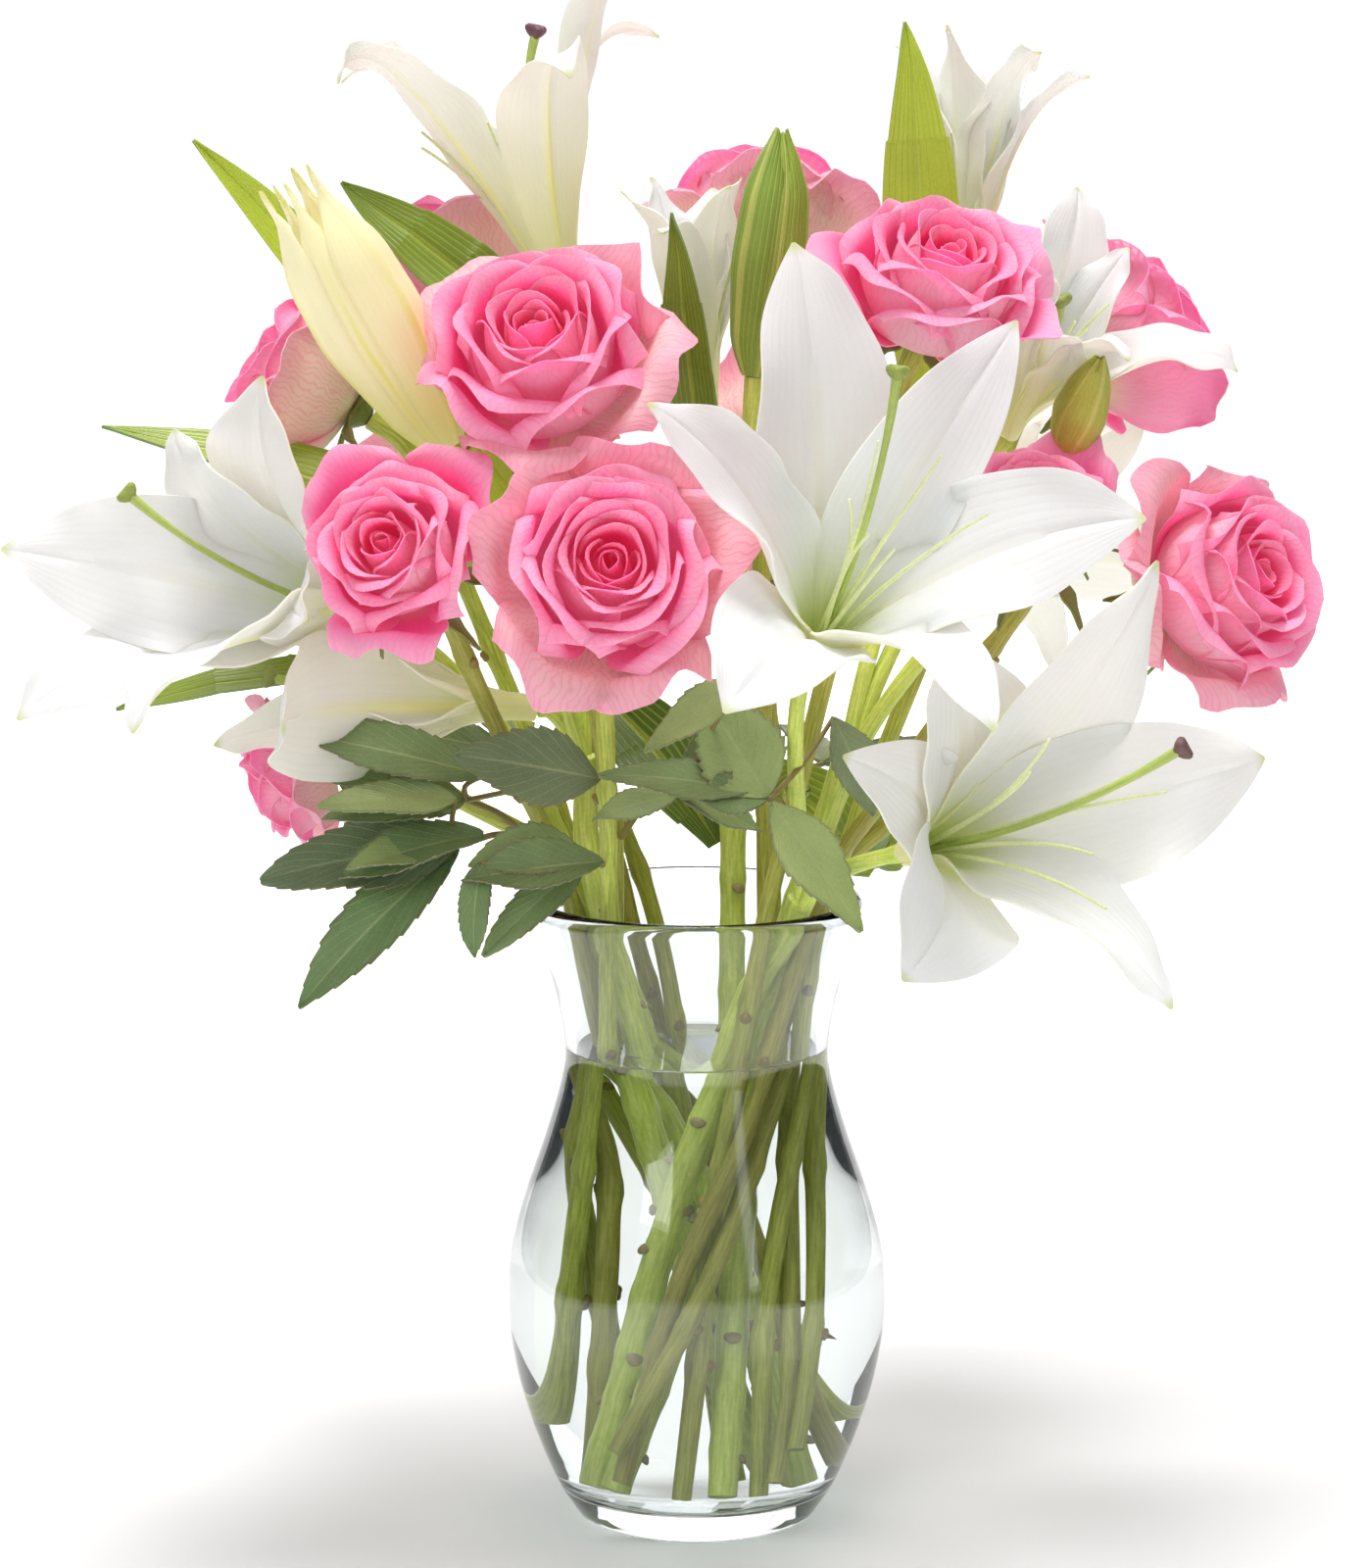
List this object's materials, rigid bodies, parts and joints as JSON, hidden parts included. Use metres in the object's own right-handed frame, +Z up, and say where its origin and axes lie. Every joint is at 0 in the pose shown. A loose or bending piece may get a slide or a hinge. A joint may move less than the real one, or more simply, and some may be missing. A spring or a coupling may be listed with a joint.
{
  "type": "vase of lilies and roses",
  "caption": "Clear glass vase of water holding a round bouquet of open white lilies, lily buds and pink garden roses with leafy green stems.",
  "frame": {"origin": "centre of the vase's flat underside, where it stands", "axes": "+Z up along the vase's axis, -Y towards the front of the bouquet, +X to the right seen from the front"},
  "size_m": [0.4118, 0.378, 0.4818],
  "materials": {
    "glass": "clear, polished",
    "water": "clear water",
    "rose_petal": "velvety pink petals",
    "lily_petal": "waxy white petals",
    "bud": "waxy green and cream",
    "rose_stem": "smooth green bark",
    "lily_stem": "smooth green skin",
    "rose_leaf": "satin leaf",
    "lily_leaf": "glossy leaf"
  },
  "bodies": {
    "root": {"vase": "glass", "water": "water", "lily_stem_1": "lily_stem", "lily_stem_2": "lily_stem", "lily_stem_3": "lily_stem", "lily_stem_4": "lily_stem", "lily_stem_5": "lily_stem", "rose_stem_1": "rose_stem", "rose_stem_2": "rose_stem", "rose_stem_3": "rose_stem", "rose_stem_4": "rose_stem", "rose_stem_5": "rose_stem", "rose_stem_6": "rose_stem", "rose_stem_7": "rose_stem", "rose_stem_8": "rose_stem", "rose_stem_9": "rose_stem", "rose_stem_10": "rose_stem", "rose_stem_11": "rose_stem", "rose_stem_12": "rose_stem", "rose_stem_13": "rose_stem", "lily_1": "lily_petal", "lily_2": "lily_petal", "lily_3": "lily_petal", "lily_4": "lily_petal", "lily_6": "lily_petal", "lily_7": "lily_petal", "lily_8": "lily_petal", "lily_9": "lily_petal", "lily_10": "lily_petal", "bud_1": "bud", "bud_2": "bud", "bud_3": "bud", "rose_1": "rose_petal", "rose_2": "rose_petal", "rose_3": "rose_petal", "rose_4": "rose_petal", "rose_5": "rose_petal", "rose_6": "rose_petal", "rose_7": "rose_petal", "rose_8": "rose_petal", "rose_9": "rose_petal", "rose_10": "rose_petal", "rose_11": "rose_petal", "rose_12": "rose_petal", "rose_13": "rose_petal", "lily_leaf_1": "lily_leaf", "lily_leaf_2": "lily_leaf", "lily_leaf_3": "lily_leaf", "lily_leaf_4": "lily_leaf", "lily_leaf_5": "lily_leaf", "lily_leaf_6": "lily_leaf", "lily_leaf_7": "lily_leaf", "lily_leaf_8": "lily_leaf", "rose_leaf_1": "rose_leaf", "rose_leaf_2": "rose_leaf", "rose_leaf_3": "rose_leaf", "rose_leaf_4": "rose_leaf", "rose_leaf_5": "rose_leaf", "rose_leaf_6": "rose_leaf", "rose_leaf_7": "rose_leaf"}
  },
  "joints": []
}
